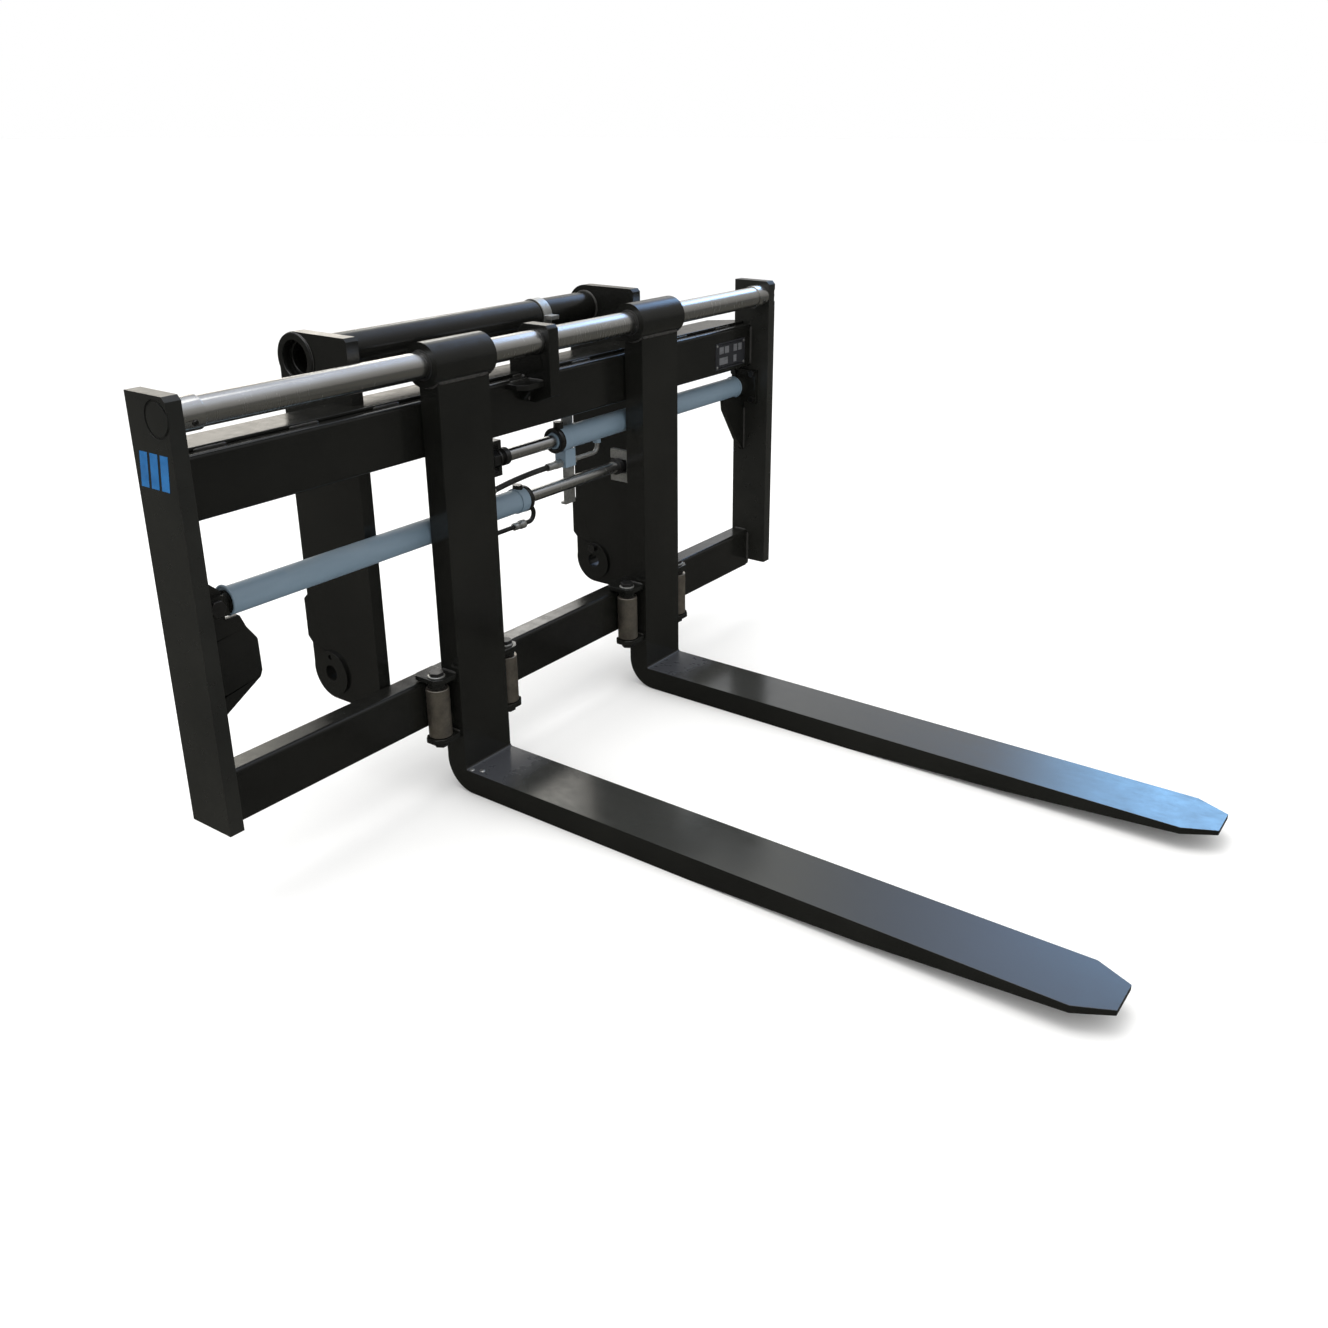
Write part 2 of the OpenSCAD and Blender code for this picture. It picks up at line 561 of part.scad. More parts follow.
module roller_bolts(x) for (s = [-1, 1]) {
  z0 = roller_z0 - 1 - foot_t;
  zcyl(z0, cap_z + cap_t, pin_r, x + s * roller_x, roller_y);
  zhex(cap_z + cap_t, cap_z + cap_t + roller_head, big_af, x + s * roller_x, roller_y);
  zhex(z0 - foot_head, z0, big_af, x + s * roller_x, roller_y);
}
module roller(x) difference() {
  zcyl(roller_z0, roller_z0 + roller_h, roller_d / 2, x, roller_y);
  zcyl(roller_z0 - 1, roller_z0 + roller_h + 1, pin_r + run_gap, x, roller_y);
}
module left_fork_arm() color(black) place() fork_arm(left_x);
module right_fork_arm() color(black) place() fork_arm(right_x);
module left_eye() color(black) place() eye(left_x);
module right_eye() color(black) place() eye(right_x);
module left_bushes() color(bronze) place() bushes(left_x);
module right_bushes() color(bronze) place() bushes(right_x);
module left_roller_mounts() color(black) place() roller_mounts(left_x);
module right_roller_mounts() color(black) place() roller_mounts(right_x);
module left_roller_bolts() color(zinc) place() roller_bolts(left_x);
module right_roller_bolts() color(zinc) place() roller_bolts(right_x);
module left_outer_roller() color(steel) place() roller(left_x - roller_x);
module left_inner_roller() color(steel) place() roller(left_x + roller_x);
module right_inner_roller() color(steel) place() roller(right_x - roller_x);
module right_outer_roller() color(steel) place() roller(right_x + roller_x);
// open-backed lug: two bars reach out behind the shank, two tabs take the push
module left_drive_lug() color(black) place() {
  difference() {
    box(left_x - 10, left_x + 50, shank_y1, 88, upper_cyl_z - lug_half, upper_cyl_z + lug_half);
    box(left_x - 11, left_x + 51, 58, 89, upper_cyl_z - lug_window, upper_cyl_z + lug_window);
  }
  for (s = [-1, 1]) {
    z0 = upper_cyl_z + (s > 0 ? lug_window : -lug_half);
    box(left_x + 50, left_lug_x, 66, 91, z0, z0 + lug_half - lug_window);
    zt = upper_cyl_z + (s > 0 ? slot_half : -lug_window);
    box(left_lug_x - lug_t, left_lug_x, 66, 91, zt, zt + lug_window - slot_half);
  }
}
module right_drive_lug() color(zinc) place() difference() {
  box(right_lug_x, right_lug_x + lug_t, shank_y1, 91, lower_cyl_z - lug_half, lower_cyl_z + lug_half);
  box(right_lug_x - 1, right_lug_x + lug_t + 1, shank_y1 + 5, 92, lower_cyl_z - slot_half,
    lower_cyl_z + slot_half);
}

left_side_plate();
right_side_plate();
upper_beam();
beam_flange();
lower_beam();
fork_shaft();
left_collar();
right_collar();
centre_bracket();
bracket_gusset();
left_hanger();
right_hanger();
coupler_tube();
coupler_rings();
left_boss();
right_boss();
lock_keepers();
tube_clip();
anchor_tab();
left_anchor();
right_saddle();
lower_barrel();
lower_gland();
lower_clevis();
lower_pin();
upper_barrel();
upper_gland();
upper_base();
carriage_bolts();
port_block();
gland_plugs();
jumper_hose();
hose_fittings();
lower_pipe();
upper_pipe();
hose_strap();
data_plate();
side_marks();
left_rod();
left_piston();
left_rod_nuts();
right_rod();
right_piston();
right_rod_nuts();
left_fork_arm();
left_eye();
left_bushes();
left_drive_lug();
left_roller_mounts();
left_roller_bolts();
left_outer_roller();
left_inner_roller();
right_fork_arm();
right_eye();
right_bushes();
right_drive_lug();
right_roller_mounts();
right_roller_bolts();
right_outer_roller();
right_inner_roller();
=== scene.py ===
"""Hydraulic pallet fork attachment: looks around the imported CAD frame.

Metres, in the CAD frame: X across the carriage, -Y towards the fork tips, Z up, blades on Z = 0.
"""
import json
import math
import random

import bmesh
import bpy
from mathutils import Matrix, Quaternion, Vector


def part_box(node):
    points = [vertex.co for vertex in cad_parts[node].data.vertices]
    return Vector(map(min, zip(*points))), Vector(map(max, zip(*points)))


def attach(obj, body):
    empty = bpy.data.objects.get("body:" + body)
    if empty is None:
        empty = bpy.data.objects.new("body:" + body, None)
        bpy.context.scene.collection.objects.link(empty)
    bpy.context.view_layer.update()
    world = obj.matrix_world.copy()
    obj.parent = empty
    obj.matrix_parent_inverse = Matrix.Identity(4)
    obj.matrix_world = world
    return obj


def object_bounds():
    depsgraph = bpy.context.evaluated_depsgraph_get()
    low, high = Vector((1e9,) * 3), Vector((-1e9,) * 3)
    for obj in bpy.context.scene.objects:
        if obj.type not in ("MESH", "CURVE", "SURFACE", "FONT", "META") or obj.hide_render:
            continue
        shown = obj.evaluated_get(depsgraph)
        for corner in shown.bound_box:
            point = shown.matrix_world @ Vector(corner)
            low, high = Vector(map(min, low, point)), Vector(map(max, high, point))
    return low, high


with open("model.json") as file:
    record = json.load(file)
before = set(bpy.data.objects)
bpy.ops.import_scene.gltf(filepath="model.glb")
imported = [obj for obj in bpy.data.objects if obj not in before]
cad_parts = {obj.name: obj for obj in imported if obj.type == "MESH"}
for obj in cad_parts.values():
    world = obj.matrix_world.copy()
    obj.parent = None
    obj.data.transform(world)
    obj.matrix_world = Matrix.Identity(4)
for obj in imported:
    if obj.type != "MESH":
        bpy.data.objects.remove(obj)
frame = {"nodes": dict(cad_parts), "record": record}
nodes = frame["nodes"]
cad_lo, cad_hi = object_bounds()
rng = random.Random(7)
MM = 0.001
SIDES = ("left", "right")


# ---------------------------------------------------------------- camera
CAMERA_AT = Vector((-1.7138, -1.0563, 1.1813))
CAMERA_AZIMUTH = math.radians(-55.43)
CAMERA_ELEVATION = math.radians(20.856)
CAMERA_ROLL = math.radians(0.1985)
CAMERA_LENS = 33.75
CAMERA_SHIFT = (-0.0296, -0.0562)


def add_camera():
    """Looks down on the part from its front left, as a person standing beside it does."""
    data = bpy.data.cameras.new("camera")
    data.sensor_width = 36.0
    data.lens = CAMERA_LENS
    data.shift_x, data.shift_y = CAMERA_SHIFT
    data.clip_start, data.clip_end = 0.05, 200.0
    cam = bpy.data.objects.new("camera", data)
    bpy.context.scene.collection.objects.link(cam)
    level = math.cos(CAMERA_ELEVATION)
    back = Vector((math.sin(CAMERA_AZIMUTH) * level, -math.cos(CAMERA_AZIMUTH) * level,
                   math.sin(CAMERA_ELEVATION)))
    cam.location = CAMERA_AT
    cam.rotation_mode = "QUATERNION"
    cam.rotation_quaternion = (-back).to_track_quat("-Z", "Y") @ Quaternion((0, 0, 1), CAMERA_ROLL)
    bpy.context.scene.camera = cam


# ---------------------------------------------------------------- node helpers
class Nodes:
    """A few short calls for building a node tree."""

    def __init__(self, tree):
        self.tree = tree

    def add(self, kind, **inputs):
        node = self.tree.nodes.new("ShaderNode" + kind)
        for name, value in inputs.items():
            self.put(node.inputs[name.replace("_", " ")], value)
        return node

    def put(self, socket, value):
        if isinstance(value, bpy.types.NodeSocket):
            self.tree.links.new(value, socket)
        elif value is not None:
            takes_alpha = hasattr(socket.default_value, "__len__") and len(socket.default_value) == 4
            if takes_alpha and len(value) == 3:
                value = (*value, 1.0)
            socket.default_value = value

    def place(self, stretch=(1, 1, 1)):
        coord = self.add("TexCoord").outputs["Object"]
        return self.add("Mapping", Vector=coord, Scale=stretch).outputs["Vector"]

    def noise(self, scale, detail, rough, stretch=(1, 1, 1)):
        n = self.add("TexNoise", Vector=self.place(stretch), Scale=scale, Detail=detail, Roughness=rough)
        return n.outputs["Fac"]

    def cells(self, scale):
        return self.add("TexVoronoi", Vector=self.place(), Scale=scale).outputs["Distance"]

    def span(self, value, low, high, to_low=0.0, to_high=1.0):
        n = self.add("MapRange")
        n.clamp = True
        for i, v in enumerate((value, low, high, to_low, to_high)):
            self.put(n.inputs[i], v)
        return n.outputs[0]

    def math(self, operation, a, b=0.0):
        n = self.add("Math")
        n.operation = operation
        self.put(n.inputs[0], a)
        self.put(n.inputs[1], b)
        return n.outputs[0]

    def mix(self, factor, a, b):
        n = self.add("Mix")
        n.data_type = "RGBA"
        self.put(n.inputs["Factor"], factor)
        self.put(n.inputs[6], a)
        self.put(n.inputs[7], b)
        return n.outputs[2]

    def bump(self, height, distance, strength, after=None):
        n = self.add("Bump", Height=height, Distance=distance, Strength=strength)
        if after is not None:
            self.put(n.inputs["Normal"], after)
        return n.outputs["Normal"]

    def edges(self, radius):
        """1 along convex and concave edges, 0 on flats."""
        soft = self.add("Bevel", Radius=radius)
        soft.samples = 4
        hard = self.add("NewGeometry").outputs["Normal"]
        dot = self.add("VectorMath")
        dot.operation = "DOT_PRODUCT"
        self.put(dot.inputs[0], soft.outputs[0])
        self.put(dot.inputs[1], hard)
        return self.span(self.math("SUBTRACT", 1.0, dot.outputs["Value"]), 0.02, 0.25)

    def facing_up(self):
        """1 on level tops, falling to 0 on slopes."""
        normal = self.add("NewGeometry").outputs["Normal"]
        return self.span(self.add("SeparateXYZ", Vector=normal).outputs["Z"], 0.6, 1.0)


def new_material(name, metallic=0.0, specular=0.5, anisotropy=0.0):
    mat = bpy.data.materials.new(name)
    mat.use_nodes = True
    shader = mat.node_tree.nodes["Principled BSDF"]
    shader.inputs["Metallic"].default_value = metallic
    shader.inputs["Specular IOR Level"].default_value = specular
    shader.inputs["Anisotropic"].default_value = anisotropy
    return mat, Nodes(mat.node_tree), shader


def finish_material(n, shader, colour, rough, normal):
    n.put(shader.inputs["Base Color"], colour)
    n.put(shader.inputs["Roughness"], rough)
    n.put(shader.inputs["Normal"], normal)


# ---------------------------------------------------------------- materials
def black_paint(name, tone=1.0, low=0.15, high=0.27, grain=(1, 1, 1), scuffs=0.0, heel=None):
    """Gloss black over hot-rolled steel: mottled gloss, orange peel, a little dust, lighter edges (wear and
    painted highlight).

    With heel, every level top is lighter (painted overhead light), and the blade top has a painted
    bluish-grey sheen from that Y forwards to the shank."""
    mat, n, shader = new_material(name)
    broad = n.noise(5.0, 4.0, 0.6)
    fine = n.noise(48.0, 5.0, 0.65, grain)
    base = n.mix(n.span(broad, 0.3, 0.7), tuple(tone * c for c in (0.0050, 0.0052, 0.0046)),
                 tuple(tone * c for c in (0.0085, 0.0086, 0.0074)))
    dust = n.math("MULTIPLY", n.facing_up(), n.span(n.noise(9.0, 6.0, 0.7), 0.45, 0.8, 0.0, 0.22))
    base = n.mix(dust, base, (0.050, 0.048, 0.043))
    # Lighter edges: partly thin paint from wear, partly a painted edge highlight.
    edge_wear_and_highlight = n.math("MULTIPLY", n.edges(1.6 * MM), n.span(n.noise(38.0, 6.0, 0.75), 0.52, 0.74))
    base = n.mix(n.math("MULTIPLY", edge_wear_and_highlight, 0.5), base, (0.085, 0.08, 0.07))
    rough = n.math("ADD", n.span(fine, 0.25, 0.75, low, high), n.math("MULTIPLY", dust, 0.25))
    if scuffs:
        lines = n.span(n.noise(14.0, 8.0, 0.8, (5, 0.3, 5)), 0.58, 0.72)
        lines = n.math("MULTIPLY", n.math("MULTIPLY", lines, n.facing_up()), scuffs)
        base = n.mix(lines, base, (0.06, 0.058, 0.054))
        rough = n.math("ADD", rough, n.math("MULTIPLY", lines, 0.18))
    if heel is not None:
        along = n.add("SeparateXYZ", Vector=n.place()).outputs["Y"]
        along = n.math("ADD", along, n.span(n.noise(16.0, 5.0, 0.7), 0.3, 0.7, -24 * MM, 24 * MM))
        # Painted light: every level top made lighter grey, as if lit from overhead.
        base = n.mix(n.facing_up(), base, (0.030, 0.031, 0.029))
        # Painted reflection: bluish-grey sheen on the blade top from the heel Y towards the shank.
        heel_painted_sheen = n.math("MULTIPLY", n.span(along, heel, heel + 60 * MM), n.facing_up())
        base = n.mix(heel_painted_sheen, base, (0.050, 0.053, 0.060))
        rough = n.math("ADD", rough, n.math("MULTIPLY", heel_painted_sheen, 0.12))
    peel = n.bump(n.noise(420.0, 2.0, 0.5), 0.06 * MM, 0.25)
    scale = n.bump(fine, 0.22 * MM, 0.16, peel)
    finish_material(n, shader, base, rough, scale)
    return mat


def chrome_bar():
    """Ground and chromed shaft: fine rings round the bar, a few long slide marks, slight haze."""
    mat, n, shader = new_material("chrome_bar", metallic=1.0, anisotropy=0.45)
    rings = n.noise(90.0, 3.0, 0.6, (14, 0.3, 0.3))
    haze = n.noise(6.0, 5.0, 0.65, (0.6, 2, 2))
    slide = n.span(n.noise(30.0, 4.0, 0.7, (0.08, 6, 6)), 0.60, 0.75)
    colour = n.mix(n.span(haze, 0.3, 0.7), (0.62, 0.61, 0.59), (0.74, 0.735, 0.725))
    colour = n.mix(n.math("MULTIPLY", slide, 0.25), colour, (0.42, 0.40, 0.37))
    rough = n.math("ADD", n.span(rings, 0.3, 0.7, 0.13, 0.23), n.math("MULTIPLY", haze, 0.10))
    finish_material(n, shader, colour, rough, n.bump(rings, 0.03 * MM, 0.3))
    return mat


def turned_steel(name, tint, rough_low, rough_high, axis_stretch):
    """Lathe-turned steel: tool rings across one axis, brownish rest marks, lighter edges (wear and painted
    highlight).
    """
    mat, n, shader = new_material(name, metallic=1.0, anisotropy=0.3)
    rings = n.noise(160.0, 2.0, 0.5, axis_stretch)
    blotch = n.noise(28.0, 6.0, 0.7)
    dark = tuple(0.55 * c for c in tint)
    colour = n.mix(n.span(blotch, 0.35, 0.70), tint, dark)
    # Lighter edges: partly wear, partly a painted edge highlight.
    edge_wear_and_highlight = n.math("MULTIPLY", n.edges(1.2 * MM), 0.5)
    colour = n.mix(edge_wear_and_highlight, colour, (0.62, 0.60, 0.56))
    rough = n.math("ADD", n.span(rings, 0.3, 0.7, rough_low, rough_high), n.span(blotch, 0.3, 0.8, 0.0, 0.12))
    finish_material(n, shader, colour, rough, n.bump(rings, 0.05 * MM, 0.4))
    return mat


def zinc():
    """Zinc plate: crystalline grey patches with a faint yellow cast and dull scratches."""
    mat, n, shader = new_material("zinc_steel", metallic=0.92)
    patch = n.cells(220.0)
    wide = n.noise(26.0, 5.0, 0.7)
    colour = n.mix(n.span(patch, 0.0, 0.6), (0.40, 0.405, 0.395), (0.56, 0.56, 0.54))
    colour = n.mix(n.span(wide, 0.5, 0.8, 0.0, 0.6), colour, (0.27, 0.255, 0.22))
    rough = n.span(wide, 0.3, 0.8, 0.30, 0.55)
    finish_material(n, shader, colour, rough, n.bump(n.noise(300.0, 3.0, 0.6), 0.06 * MM, 0.4))
    return mat


def cylinder_paint():
    """Satin blue-grey paint on the barrels: runs, dust along the top and chips at the edges."""
    mat, n, shader = new_material("cylinder_paint", specular=0.45)
    broad = n.noise(7.0, 5.0, 0.6, (0.5, 2, 2))
    colour = n.mix(n.span(broad, 0.3, 0.7), (0.112, 0.162, 0.205), (0.148, 0.202, 0.250))
    dust = n.math("MULTIPLY", n.facing_up(), n.span(n.noise(20.0, 6.0, 0.7), 0.4, 0.8, 0.0, 0.45))
    colour = n.mix(dust, colour, (0.24, 0.26, 0.26))
    chips = n.math("MULTIPLY", n.edges(1.5 * MM), n.span(n.noise(60.0, 5.0, 0.8), 0.5, 0.62))
    colour = n.mix(chips, colour, (0.05, 0.055, 0.06))
    rough = n.span(n.noise(70.0, 4.0, 0.6), 0.3, 0.7, 0.34, 0.48)
    peel = n.bump(n.noise(330.0, 2.0, 0.5), 0.12 * MM, 0.4)
    finish_material(n, shader, colour, rough, peel)
    return mat


def bronze():
    """Bearing bronze: turned rings and dark oil in the low places."""
    mat, n, shader = new_material("bronze", metallic=1.0)
    oil = n.noise(60.0, 5.0, 0.7)
    colour = n.mix(n.span(oil, 0.4, 0.7), (0.55, 0.36, 0.16), (0.20, 0.12, 0.05))
    rough = n.span(oil, 0.3, 0.7, 0.25, 0.45)
    rings = n.noise(200.0, 2.0, 0.5, (10, 0.3, 0.3))
    finish_material(n, shader, colour, rough, n.bump(rings, 0.05 * MM, 0.4))
    return mat


def rubber():
    """Hose cover: dull black with a fine wrapped-cloth pattern and a chalky bloom."""
    mat, n, shader = new_material("hose_rubber", specular=0.35)
    wrap = n.add("TexWave", Vector=n.place(), Scale=420.0, Distortion=0.6).outputs["Fac"]
    bloom = n.noise(45.0, 5.0, 0.7)
    colour = n.mix(n.span(bloom, 0.4, 0.75), (0.010, 0.010, 0.010), (0.032, 0.032, 0.030))
    rough = n.span(bloom, 0.3, 0.7, 0.42, 0.62)
    finish_material(n, shader, colour, rough, n.bump(wrap, 0.12 * MM, 0.5))
    return mat


def brushed_plate(name, light, dark):
    """Blank anodised metal, brushed along its length, smudged."""
    mat, n, shader = new_material(name, metallic=0.85, anisotropy=0.4)
    brush = n.noise(120.0, 3.0, 0.6, (0.15, 1, 8))
    smudge = n.noise(30.0, 5.0, 0.7)
    colour = n.mix(n.span(brush, 0.3, 0.7), dark, light)
    colour = n.mix(n.span(smudge, 0.5, 0.75, 0.0, 0.6), colour, (0.09, 0.09, 0.095))
    rough = n.span(smudge, 0.3, 0.7, 0.32, 0.5)
    finish_material(n, shader, colour, rough, n.bump(brush, 0.03 * MM, 0.4))
    return mat


def vinyl():
    """Blue film: cloudy tone and slight bubbles."""
    mat, n, shader = new_material("blue_film", specular=0.5)
    cloud = n.noise(40.0, 4.0, 0.6)
    colour = n.mix(n.span(cloud, 0.3, 0.7), (0.008, 0.090, 0.25), (0.012, 0.135, 0.36))
    rough = n.span(n.noise(90.0, 4.0, 0.6), 0.3, 0.7, 0.30, 0.46)
    finish_material(n, shader, colour, rough, n.bump(n.noise(150.0, 3.0, 0.6), 0.08 * MM, 0.3))
    return mat


def weld_metal():
    """Painted-over weld: black like the plates, rougher, with brown heat tint in the hollows."""
    mat, n, shader = new_material("weld_paint", specular=0.5)
    pits = n.noise(240.0, 4.0, 0.7)
    colour = n.mix(n.span(pits, 0.35, 0.7), (0.022, 0.022, 0.021), (0.040, 0.038, 0.034))
    finish_material(n, shader, colour, n.span(pits, 0.3, 0.7, 0.24, 0.40), n.bump(pits, 0.25 * MM, 0.5))
    return mat


PAINT = black_paint("black_paint")
FORK_PAINT = black_paint("fork_paint", tone=1.1, low=0.12, high=0.22, grain=(1.5, 0.7, 0.7), scuffs=0.4,
                         heel=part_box("left_fork_arm")[1].y - 170 * MM)
PLATE_PAINT = black_paint("plate_paint", tone=1.9, low=0.24, high=0.38)
CHROME = chrome_bar()
ROLLER = turned_steel("roller_steel", (0.56, 0.51, 0.44), 0.34, 0.46, (0.2, 0.2, 10))
DARK_STEEL = turned_steel("dark_steel", (0.12, 0.12, 0.12), 0.30, 0.42, (10, 0.3, 0.3))
ZINC = zinc()
CYLINDER = cylinder_paint()
BRONZE = bronze()
RUBBER = rubber()
PLATE_METAL = brushed_plate("plate_metal", (0.12, 0.125, 0.14), (0.07, 0.072, 0.08))
PANEL_METAL = brushed_plate("panel_metal", (0.52, 0.53, 0.56), (0.36, 0.37, 0.40))
FILM = vinyl()
WELD = weld_metal()
BY_SLOT = {"black_paint": PAINT, "chrome_bar": CHROME, "roller_steel": ROLLER, "zinc_steel": ZINC,
           "blue_grey_paint": CYLINDER, "bronze": BRONZE, "dark_steel": DARK_STEEL,
           "rubber_hose": RUBBER, "plate_metal": PLATE_METAL, "blue_mark": FILM}
BY_NODE = {"left_fork_arm": FORK_PAINT, "right_fork_arm": FORK_PAINT, "left_side_plate": PLATE_PAINT,
           "right_side_plate": PLATE_PAINT}


def dress_cad_nodes():
    """Materials by slot, and small rounded edges on every CAD node but the marks, the hose and the pipes."""
    soft_edge = {"black_paint": 1.6, "zinc_steel": 0.7, "roller_steel": 1.2, "blue_grey_paint": 0.9}
    unbevelled = ("side_marks", "jumper_hose", "lower_pipe", "upper_pipe")
    for part in frame["record"]["subparts"]:
        name, slot = part["node"], part["material_slot"]
        obj = nodes[name]
        for holder in obj.material_slots:
            holder.material = BY_NODE.get(name, BY_SLOT[slot])
        weld = obj.modifiers.new("weld", "WELD")
        weld.merge_threshold = 0.01 * MM
        if name not in unbevelled:
            bevel = obj.modifiers.new("soft_edge", "BEVEL")
            bevel.width = soft_edge.get(slot, 0.6) * MM
            bevel.segments = 2
            bevel.limit_method = "ANGLE"
            bevel.angle_limit = math.radians(32)
            bevel.miter_outer = "MITER_ARC"
        shade = obj.modifiers.new("shade", "WEIGHTED_NORMAL")
        shade.weight = 100
        shade.mode = "FACE_AREA_WITH_ANGLE"


# ---------------------------------------------------------------- mesh helpers
def make_piece(name, bm, material, body, smooth=True):
    mesh = bpy.data.meshes.new(name)
    bmesh.ops.recalc_face_normals(bm, faces=bm.faces)
    bm.to_mesh(mesh)
    bm.free()
    for face in mesh.polygons:
        face.use_smooth = smooth
    mesh.materials.append(material)
    obj = bpy.data.objects.new(name, mesh)
    bpy.context.scene.collection.objects.link(obj)
    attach(obj, body)
    return obj


def basis(axis):
    """Two unit vectors square to axis."""
    axis = axis.normalized()
    side = axis.orthogonal().normalized()
    return side, axis.cross(side)


def sweep(bm, path, radii, count=10, closed=False):
    """A tube of changing radius along points."""
    rings = []
    total = len(path)
    side = None
    for i, point in enumerate(path):
        ahead = path[(i + 1) % total] if closed or i + 1 < total else path[i]
        behind = path[i - 1] if closed or i > 0 else path[i]
        along = (ahead - behind).normalized()
        if side is None:
            side = basis(along)[0]
        side = (side - along * side.dot(along)).normalized()
        up = along.cross(side)
        ring = []
        for k in range(count):
            a = 2 * math.pi * k / count
            ring.append(bm.verts.new(point + (side * math.cos(a) + up * math.sin(a)) * radii[i]))
        rings.append(ring)
    pairs = list(zip(rings, rings[1:])) + ([(rings[-1], rings[0])] if closed else [])
    for first, second in pairs:
        for k in range(count):
            bm.faces.new((first[k], first[(k + 1) % count], second[(k + 1) % count], second[k]))
    if not closed:
        bm.faces.new(list(reversed(rings[0])))
        bm.faces.new(rings[-1])


def lathe(bm, base, axis, profile, count=40):
    """Turns (distance along axis, radius) pairs about axis."""
    axis = axis.normalized()
    side, up = basis(axis)
    rings = []
    for along, radius in profile:
        ring = []
        for k in range(count):
            a = 2 * math.pi * k / count
            ring.append(bm.verts.new(base + axis * along + (side * math.cos(a) + up * math.sin(a)) * radius))
        rings.append(ring)
    for first, second in zip(rings, rings[1:]):
        for k in range(count):
            bm.faces.new((first[k], first[(k + 1) % count], second[(k + 1) % count], second[k]))
    bm.faces.new(list(reversed(rings[0])))
    bm.faces.new(rings[-1])


def ring(bm, base, axis, outline, count=48):
    """Turns a closed outline of (distance along axis, radius) pairs about axis."""
    axis = axis.normalized()
    side, up = basis(axis)
    turns = []
    for k in range(count):
        a = 2 * math.pi * k / count
        outward = side * math.cos(a) + up * math.sin(a)
        turns.append([bm.verts.new(base + axis * along + outward * radius) for along, radius in outline])
    for first, second in zip(turns, turns[1:] + turns[:1]):
        for i in range(len(outline)):
            j = (i + 1) % len(outline)
            bm.faces.new((first[i], first[j], second[j], second[i]))


def along_line(points, step):
    """Even points along straight runs."""
    out = []
    for a, b in zip(points, points[1:]):
        n = max(1, round((b - a).length / step))
        out += [a.lerp(b, i / n) for i in range(n)]
    return out + [points[-1]]


def circle_points(centre, axis, radius, step):
    side, up = basis(axis)
    n = max(12, round(2 * math.pi * radius / step))
    turns = [2 * math.pi * i / n for i in range(n)]
    return [centre + (side * math.cos(a) + up * math.sin(a)) * radius for a in turns]


RIPPLE = 4.2 * MM
EYE_BEAD = 3.8 * MM
HANGER_BEAD = 3.6 * MM
BEAM_BEAD = 3.4 * MM
TUBE_BEAD = 3.2 * MM
LIGHT_BEAD = 3.0 * MM
BRACKET_BEAD = 2.8 * MM
STITCH_BEAD = 2.6 * MM
BARREL_BEAD = 2.4 * MM
RING_BEAD = 1.8 * MM
FORK_THICK = 45 * MM


def straight(start, end, radius):
    return [start, end], radius


def bead(bm, points, radius, closed=False):
    """A weld bead: overlapping ripples of slightly uneven size, thinner at its ends."""
    radii, size = [], 1.0
    for i in range(len(points)):
        phase = (i % 3) / 3
        if phase == 0:
            size = rng.uniform(0.90, 1.08)
        end = 1.0 if closed else min(1.0, 0.55 + 0.15 * min(i, len(points) - 1 - i))
        radii.append(radius * size * end * (0.84 + 0.22 * math.sqrt(1 - phase)))
    sweep(bm, points, radii, 8, closed)


def bead_set(name, body, runs, rings=()):
    """One piece of several beads. runs are (points, radius), rings (centre, axis, circle radius, radius)."""
    bm = bmesh.new()
    for points, radius in runs:
        bead(bm, along_line([Vector(p) for p in points], RIPPLE / 3), radius)
    for centre, axis, circle, radius in rings:
        bead(bm, circle_points(Vector(centre), Vector(axis), circle, RIPPLE / 3), radius, closed=True)
    return make_piece(name, bm, WELD, body)


# ---------------------------------------------------------------- welds
def beam_runs(runs):
    for beam in ("upper_beam", "lower_beam"):
        lo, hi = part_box(beam)
        front, back = lo.y + 6 * MM, hi.y - 8 * MM
        for x, away in ((lo.x, 1), (hi.x, -1)):
            x += 0.8 * MM * away
            runs.append(straight((x, lo.y, lo.z + 6 * MM), (x, lo.y, hi.z - 6 * MM), BEAM_BEAD))
            runs.append(straight((x, front, lo.z), (x, back, lo.z), LIGHT_BEAD))
            if beam == "lower_beam":
                runs.append(straight((x, front, hi.z), (x, back, hi.z), LIGHT_BEAD))


def hanger_runs(runs, rings):
    upper_lo, upper_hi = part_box("upper_beam")
    low_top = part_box("lower_beam")[1].z
    for side in SIDES:
        lo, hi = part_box(side + "_hanger")
        for x in (lo.x, hi.x):
            runs.append(straight((x, lo.y, upper_lo.z + 4 * MM), (x, lo.y, upper_hi.z - 8 * MM), HANGER_BEAD))
            runs.append(straight((x, lo.y, lo.z + 4 * MM), (x, lo.y, low_top - 8 * MM), HANGER_BEAD))
        inner_x, outer_x = (lo.x, hi.x) if hi.x > 0 else (hi.x, lo.x)
        inset = 1.2 * MM
        for node, x, smaller, radius in (("coupler_tube", inner_x, 0.0, TUBE_BEAD),
                                         ("coupler_rings", outer_x, inset, RING_BEAD)):
            tube_lo, tube_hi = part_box(node)
            centre = (tube_lo + tube_hi) / 2
            circle = (tube_hi.z - tube_lo.z) / 2 - smaller
            rings.append(((x, centre.y, centre.z), (1, 0, 0), circle, radius))


